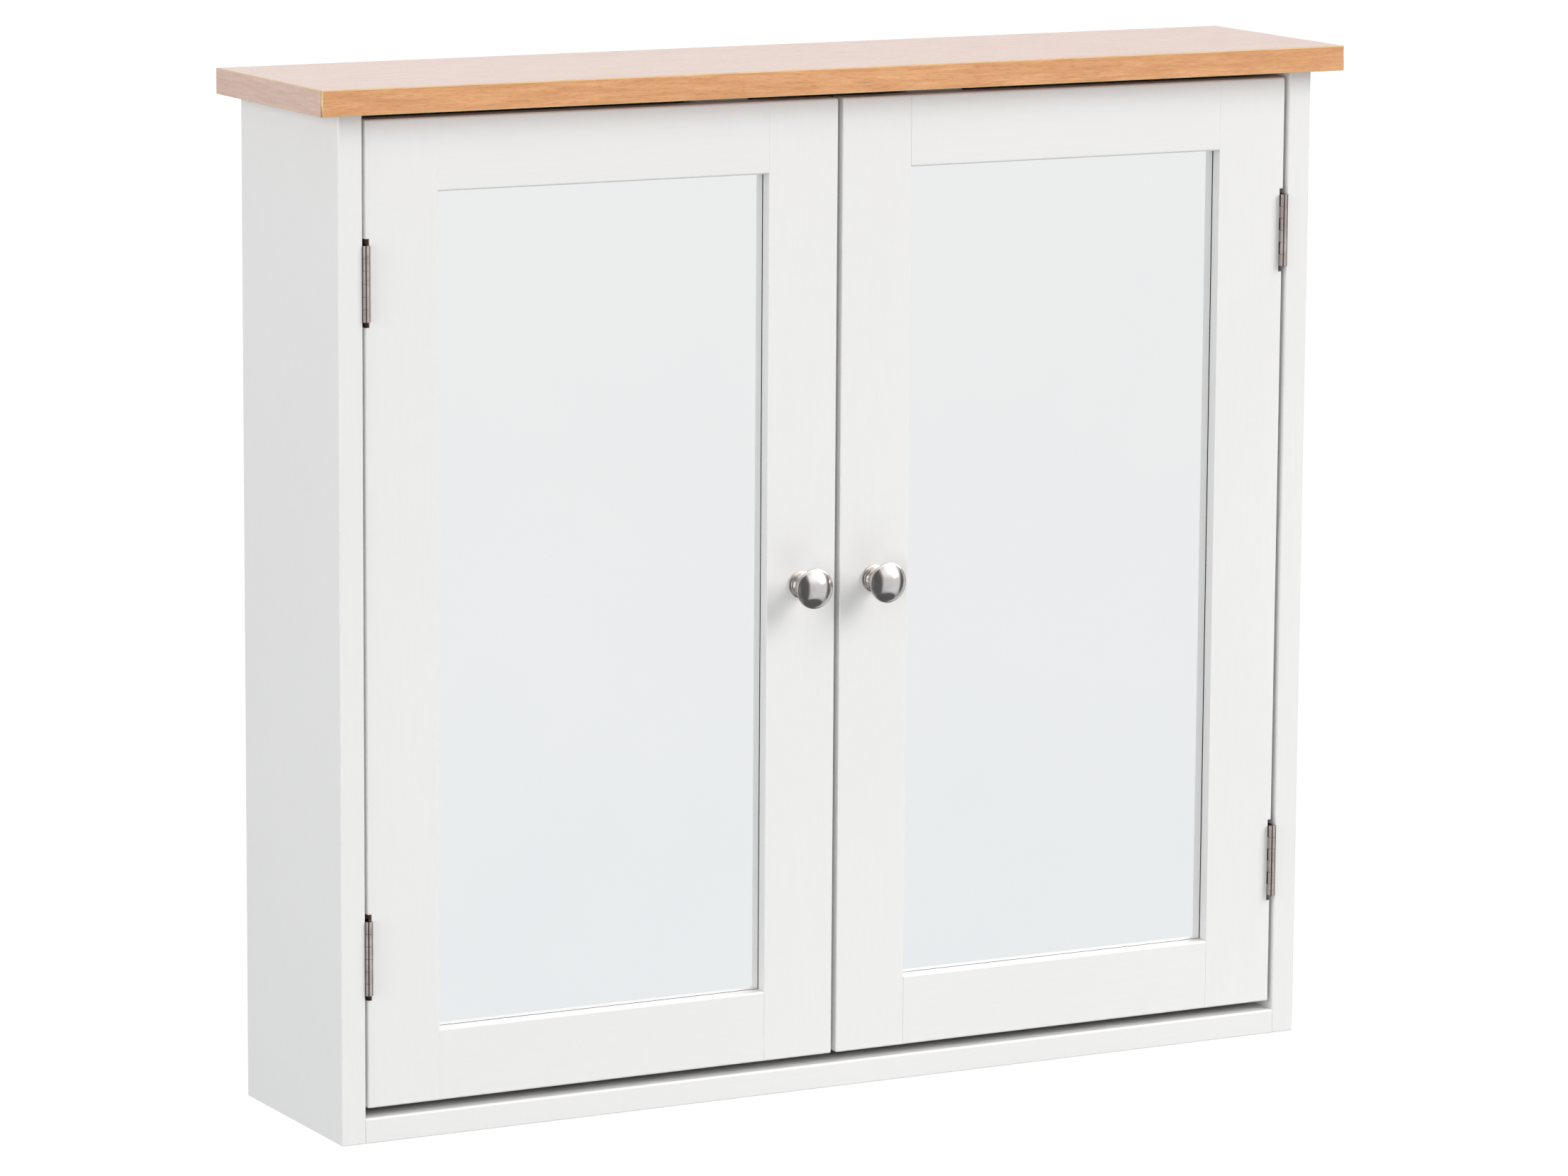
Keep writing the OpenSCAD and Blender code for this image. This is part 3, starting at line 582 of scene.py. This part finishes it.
def make_knob(side):
    """The knob turned from its section, with a satin face and the rest polished."""
    low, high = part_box(side + "_knob")
    middle = (low + high) / 2
    profile, face_start = knob_profile((high.x - low.x) / 2 / MM, (high.y - low.y) / MM)
    shape = bmesh.new()
    rings = []
    for radius, height in profile:
        count = KNOB_STEPS if radius > ON_AXIS else 1
        turns = [2 * math.pi * i / count for i in range(count)]
        ring = [
            (middle.x + radius * MM * math.cos(t), high.y - height * MM, middle.z + radius * MM * math.sin(t))
            for t in turns
        ]
        rings.append([shape.verts.new(point) for point in ring])
    for index, (near, far) in enumerate(zip(rings, rings[1:])):
        for i in range(KNOB_STEPS):
            corners = [ring[j % len(ring)] for ring, j in ((near, i), (near, i + 1), (far, i + 1), (far, i))]
            face = shape.faces.new(list(dict.fromkeys(corners)))
            face.smooth = True
            face.material_index = 0 if index >= face_start else 1
    bmesh.ops.recalc_face_normals(shape, faces=shape.faces)
    for edge in shape.edges:
        edge.smooth = edge.calc_face_angle() < CREASE_ANGLE
    add_piece(
        side + "_knob_turned", shape, BODY_OF[side + "_knob"], side + "_knob",
        [SATIN_NICKEL, BRIGHT_NICKEL],
    )


# ---- Small parts ----

def finish_small_parts():
    for side in SIDES:
        for node in ("upper_frame_leaf", "lower_frame_leaf", "upper_door_leaf", "lower_door_leaf"):
            softened(f"{side}_{node}", 0.3, HINGE_NICKEL)
        softened(side + "_catch_housing", 0.5, WHITE_PLASTIC)
        softened(side + "_strike_plate", 0.2, ZINC)
    for node in ("lower_shelf_pins", "upper_shelf_pins", "catch_pole_plates", "cam_locks"):
        softened(node, 0.15, ZINC)
    for node, part in NODES.items():
        if not part.hide_render:
            give_look(node, SLOT_LOOKS[SLOT_OF[node]])


# ---- Studio ----

def add_floor():
    """A pale floor, far enough below the cabinet not to hide it in views from under it."""
    made = Finish("pale_floor", Roughness=0.8, Emission_Strength=0.6)
    tone = made.mix(made.noise(scaled(EVEN, FLOOR_CLOUDS), 3), (0.9, 0.9, 0.9), (0.87, 0.87, 0.87))
    made.set(Base_Color=tone, Emission_Color=(1, 1, 1))
    shape = bmesh.new()
    bmesh.ops.create_circle(shape, cap_ends=True, segments=64, radius=FLOOR_RADIUS)
    mesh = bpy.data.meshes.new("floor")
    shape.to_mesh(mesh)
    shape.free()
    mesh.materials.append(made.material)
    floor = bpy.data.objects.new("floor", mesh)
    floor.location.z = cad_low.z - FLOOR_DEPTH
    floor.visible_glossy = False
    floor.visible_diffuse = False
    bpy.context.scene.collection.objects.link(floor)


def vector_math(tree, operation, first, second=None):
    """A vector node's output. Each input is another node's output or three numbers."""
    made = tree.nodes.new("ShaderNodeVectorMath")
    made.operation = operation
    for socket, value in zip(made.inputs, (first, second)):
        if isinstance(value, bpy.types.NodeSocket):
            tree.links.new(value, socket)
        elif value:
            socket.default_value = value
    return made.outputs["Value" if operation == "DOT_PRODUCT" else "Vector"]


def lobe(tree, direction, start, end, amount, height=1.0):
    """A number that rises from 0 to amount as the world's direction turns towards the given one."""
    there = tree.nodes.new("ShaderNodeTexCoord").outputs["Generated"]
    squeezed = vector_math(tree, "NORMALIZE", vector_math(tree, "MULTIPLY", there, (1, 1, 1 / height)))
    dot = vector_math(tree, "DOT_PRODUCT", squeezed, Vector(direction).normalized())
    rise = tree.nodes.new("ShaderNodeMapRange")
    rise.interpolation_type = "SMOOTHSTEP"
    for index, value in enumerate((start, end, 0.0, amount), start=1):
        rise.inputs[index].default_value = value
    tree.links.new(dot, rise.inputs[0])
    return rise.outputs["Result"]


def room(tree, base, lobes):
    """The brightness of a room by direction: a base and the sum of its lobes, held at the darkest."""
    total = base
    for shape in lobes:
        add = tree.nodes.new("ShaderNodeMath")
        tree.links.new(lobe(tree, *shape), add.inputs[0])
        if isinstance(total, float):
            add.inputs[1].default_value = total
        else:
            tree.links.new(total, add.inputs[1])
        total = add.outputs[0]
    held = tree.nodes.new("ShaderNodeMath")
    held.operation = "MAXIMUM"
    tree.links.new(total, held.inputs[0])
    held.inputs[1].default_value = DARKEST
    return held.outputs[0]


def mix_colours(tree, factor, first, second):
    """first where factor is 0 and second where it is 1. Each is a node's output or a colour."""
    mix = tree.nodes.new("ShaderNodeMix")
    mix.data_type = "RGBA"
    for index, value in ((0, factor), (6, first), (7, second)):
        if isinstance(value, tuple):
            mix.inputs[index].default_value = (*value, 1)
        else:
            tree.links.new(value, mix.inputs[index])
    return mix.outputs[2]


def add_world():
    """A pale room, white where the camera sees it. Satin metal has soft lights and dark flags to reflect,
    and the mirrors have a smooth tone."""
    world = bpy.data.worlds.new("studio")
    bpy.context.scene.world = world
    world.use_nodes = True
    tree = world.node_tree
    ambient = room(tree, AMBIENT_BASE, AMBIENT_LOBES)
    shine = room(tree, SHINE_BASE, SHINE_LOBES)
    mirrored = room(tree, MIRRORED_BASE, MIRRORED_LOBES)
    rays = tree.nodes.new("ShaderNodeLightPath")
    strength = mix_colours(tree, rays.outputs["Is Glossy Ray"], ambient, shine)
    strength = mix_colours(tree, rays.outputs["Is Singular Ray"], strength, mirrored)
    cool = mix_colours(tree, lobe(tree, *COOL_LOBE), (1, 1, 1), COOL_TINT)
    tinted = vector_math(tree, "MULTIPLY", strength, cool)
    colour = mix_colours(tree, rays.outputs["Is Camera Ray"], tinted, WHITE_BACKGROUND)
    tree.links.new(colour, tree.nodes["Background"].inputs["Color"])


def add_softbox(name, at, size, power, colour=(1, 1, 1), mirrored=False):
    """A soft light of power watts, at a place from the cabinet's middle, which it faces."""
    data = bpy.data.lights.new(name, "AREA")
    data.shape = "RECTANGLE"
    data.size, data.size_y = size
    data.energy = power
    data.color = colour
    box = bpy.data.objects.new(name, data)
    middle = (cad_low + cad_high) / 2
    box.location = middle + Vector(at)
    box.rotation_euler = (-Vector(at)).to_track_quat("-Z", "Y").to_euler()
    box.visible_camera = False
    box.visible_glossy = mirrored
    bpy.context.scene.collection.objects.link(box)


def add_lights():
    add_softbox("key_right", (2.6, -2.1, 1.9), (1.6, 2.2), power=100, colour=KEY_WARMTH, mirrored=True)
    add_softbox("side_left", (-3.2, -0.8, 0.5), (2.4, 2.4), power=58)
    add_softbox("front_left", (-2.0, -3.0, 0.3), (1.0, 2.4), power=30)
    add_softbox("low_reflector", (0.35, -1.0, -1.1), (1.8, 1.2), power=7)


def add_camera():
    yaw, pitch, roll = (math.radians(a) for a in (CAMERA_YAW, CAMERA_PITCH, CAMERA_ROLL))
    ahead = Vector((math.sin(yaw) * math.cos(pitch), math.cos(yaw) * math.cos(pitch), math.sin(pitch)))
    level = Vector((math.cos(yaw), -math.sin(yaw), 0))
    above = level.cross(ahead)
    right = math.cos(roll) * level + math.sin(roll) * above
    up = math.cos(roll) * above - math.sin(roll) * level
    data = bpy.data.cameras.new("camera")
    data.lens = CAMERA_LENS
    data.sensor_width = SENSOR_WIDTH
    data.clip_start, data.clip_end = 0.1, 200
    camera = bpy.data.objects.new("camera", data)
    turned = Matrix((right, up, -ahead)).transposed().to_4x4()
    camera.matrix_world = Matrix.Translation(CAMERA_AT) @ turned
    bpy.context.scene.collection.objects.link(camera)
    bpy.context.scene.camera = camera
    bpy.context.scene.view_settings.view_transform = "Standard"


make_side_panels()
make_level_boards()
make_back_panel()
make_top_board()
for side in SIDES:
    make_door_frame(side)
    make_mirror(side)
    make_backing_board(side)
    make_knob(side)
finish_small_parts()
add_floor()
add_world()
add_lights()
add_camera()
